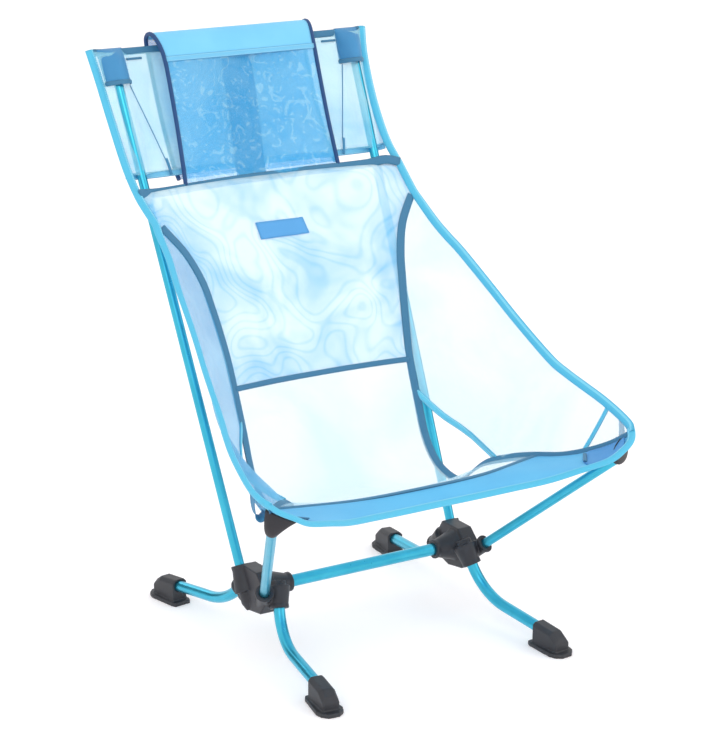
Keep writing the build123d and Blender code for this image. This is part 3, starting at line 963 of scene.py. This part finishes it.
def makePillow():
    def layer(name):
        sag, uneven, seed = pillowShapes[name]
        edges = {side: smoothLine([at(*p, side) for p in pillowLines[name]]) for side in (1, -1)}

        def place(u, v):
            spot = mix(edges[-1](v), edges[1](v), u)
            swell = math.sin(math.pi * u)
            rough = ripple(spot, 0.07, uneven * swell, seed)
            return spot + Vector((0, sag * swell, 0)) + pillowFace * rough

        return place

    frontPlace, topPlace = layer("front"), layer("top")
    front = layCloth("pillowFront", 50, 36, frontPlace)
    finishPiece(front, "pillow", ["pillow_front"])
    top = layCloth("pillowTop", 50, 16, topPlace, 0.0012)
    finishPiece(top, "band", ["pillow_top"])
    back = layCloth("pillowBack", 50, 36, layer("back"))
    finishPiece(back, "pillow", ["pillow_back"])
    seam = smoothLine([topPlace(i / 12, 0.02) for i in range(13)])
    tape = ribbon("pillowSeam", seam, steady(0, 0.4, 1), 0.008, 50, proud=0.0006)
    finishPiece(tape, "paleTape")

    def strapPlace(u, v):
        # its edges run from the foot of the front layer up to the top seam
        edges = [mix(foot, top, v) for foot, top in zip(pillowStrap["foot"], pillowStrap["top"])]
        spot = frontPlace(mix(*edges, u), mix(*pillowStrap["along"], v))
        return spot + Vector((0, pillowStrap["behind"], 0))

    strap = layCloth("pillowStrap", 16, 36, strapPlace, 0.001)
    finishPiece(strap, "strap", ["pillow_strap"])
    for hand, side in sides.items():
        edge = (*pillowLines["front"], *pillowLines["top"][1:], *pillowLines["back"][1:])
        places = [at(x + pipingOut, y, z, side) for x, y, z in edge]
        pipe = roundCord(f"{hand}PillowPiping", places, pipingRadius)
        finishPiece(pipe, "navy")
    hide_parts("pillow_piping")


# where the label's corners lie on the back panel, as shares of its width and length
labelCorners = {"low": ((0.407, 0.318), (0.630, 0.310)),
                "high": ((0.4105, 0.232), (0.610, 0.228))}
tetherRadius = 0.0007


def makeTrim(backPlace):
    def face(u, v):
        (lowLeft, lowRight), (highLeft, highRight) = (
            [Vector(corner) for corner in labelCorners[row]] for row in ("low", "high"))
        share = mix(mix(lowLeft, highLeft, v), mix(lowRight, highRight, v), u)
        return backPlace(*share) + Vector((0, -0.0016, 0.0008))

    label = layCloth("plainLabel", 16, 6, face, 0.0012)
    finishPiece(label, "label", ["label"])
    for hand, side in sides.items():
        tether = roundCord(f"{hand}Tether", placesOf("tether", side), tetherRadius)
        finishPiece(tether, "loop")
        tag = ribbon(f"{hand}TetherTag", lineOf("tetherTag", side), steady(1, 0, 0), 0.0036, 12,
                     proud=0.002)
        finishPiece(tag, "loop")
        tack = ribbon(f"{hand}BarTack", lineOf("barTack", side), steady(0, 0.35, 1), 0.0026, 8)
        finishPiece(tack, "seam")
    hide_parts("tethers")
    for hand, side in sides.items():
        loop = ribbon(f"{hand}PullLoop", lineOf("pullLoop", side), steady(0.15, 0.9, 0.4), 0.015,
                      40)
        finishPiece(loop, "loop")
    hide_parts("pull_loops")


# the remeshing grain in metres and the rounds of smoothing
hubSoftness = (0.0011, 7)
footSoftness = (0.0010, 5)


def softMould(node, newName, look, body, softness):
    # a copy of a moulded part with its sharp corners softened, as they leave the mould
    grain, rounds = softness
    source = frame["nodes"][node]
    piece = bpy.data.objects.new(newName, source.data.copy())
    bpy.context.scene.collection.objects.link(piece)
    weld = piece.modifiers.new("weld", "WELD")
    weld.merge_threshold = 0.00001
    remesh = piece.modifiers.new("remesh", "REMESH")
    remesh.mode = "VOXEL"
    remesh.voxel_size = grain
    smooth = piece.modifiers.new("smooth", "SMOOTH")
    smooth.factor = 0.5
    smooth.iterations = rounds
    applyAll(piece)
    return finishPiece(piece, look, [node], body)


def makeMoulds():
    for hand in sides:
        softMould(f"hub_{hand}", f"{hand}Hub", "hub", "frame", hubSoftness)
        for row in ("front", "rear"):
            softMould(f"{row}_foot_{hand}", f"{row}{hand.title()}Foot", "rubber",
                      f"{row}_leg_{hand}_body", footSoftness)


def dressFrame():
    # the tubes, tips, cords and ferrules keep their own shapes and get real finishes
    dress = {"anodised_tube": "tube", "ferrule_metal": "ferrule", "tip_plastic": "hub",
             "elastic_cord": "elastic", "hub_plastic": "hub", "boot_rubber": "rubber"}
    slotOf = {part["node"]: part["material_slot"] for part in frame["record"]["subparts"]}
    for name, node in frame["nodes"].items():
        look = dress.get(slotOf.get(name))
        if look:
            for holder in node.material_slots:
                holder.material = looks[look]


backSurface = makePanels()
makeWings()
makeHem()
makeTapes(backSurface)
makeBindings()
print("stage: sling")
makePockets()
makePillow()
makeTrim(backSurface)
print("stage: pockets, pillow and trim")
makeMoulds()
dressFrame()
print("stage: moulded parts and tubes")

floorSize = 30
floorGlow = 0.13
bpy.ops.object.select_all(action="DESELECT")
bpy.ops.mesh.primitive_plane_add(size=floorSize, location=(0, 0, 0))
floor = bpy.context.object
floor.name = "floor"
floorPaper, _, floorSkin = shader("floorPaper", (0.985, 0.935, 0.93), 0.9)
floorSkin.inputs["Emission Color"].default_value = (1, 1, 1, 1)
floorSkin.inputs["Emission Strength"].default_value = floorGlow
floor.data.materials.append(floorPaper)
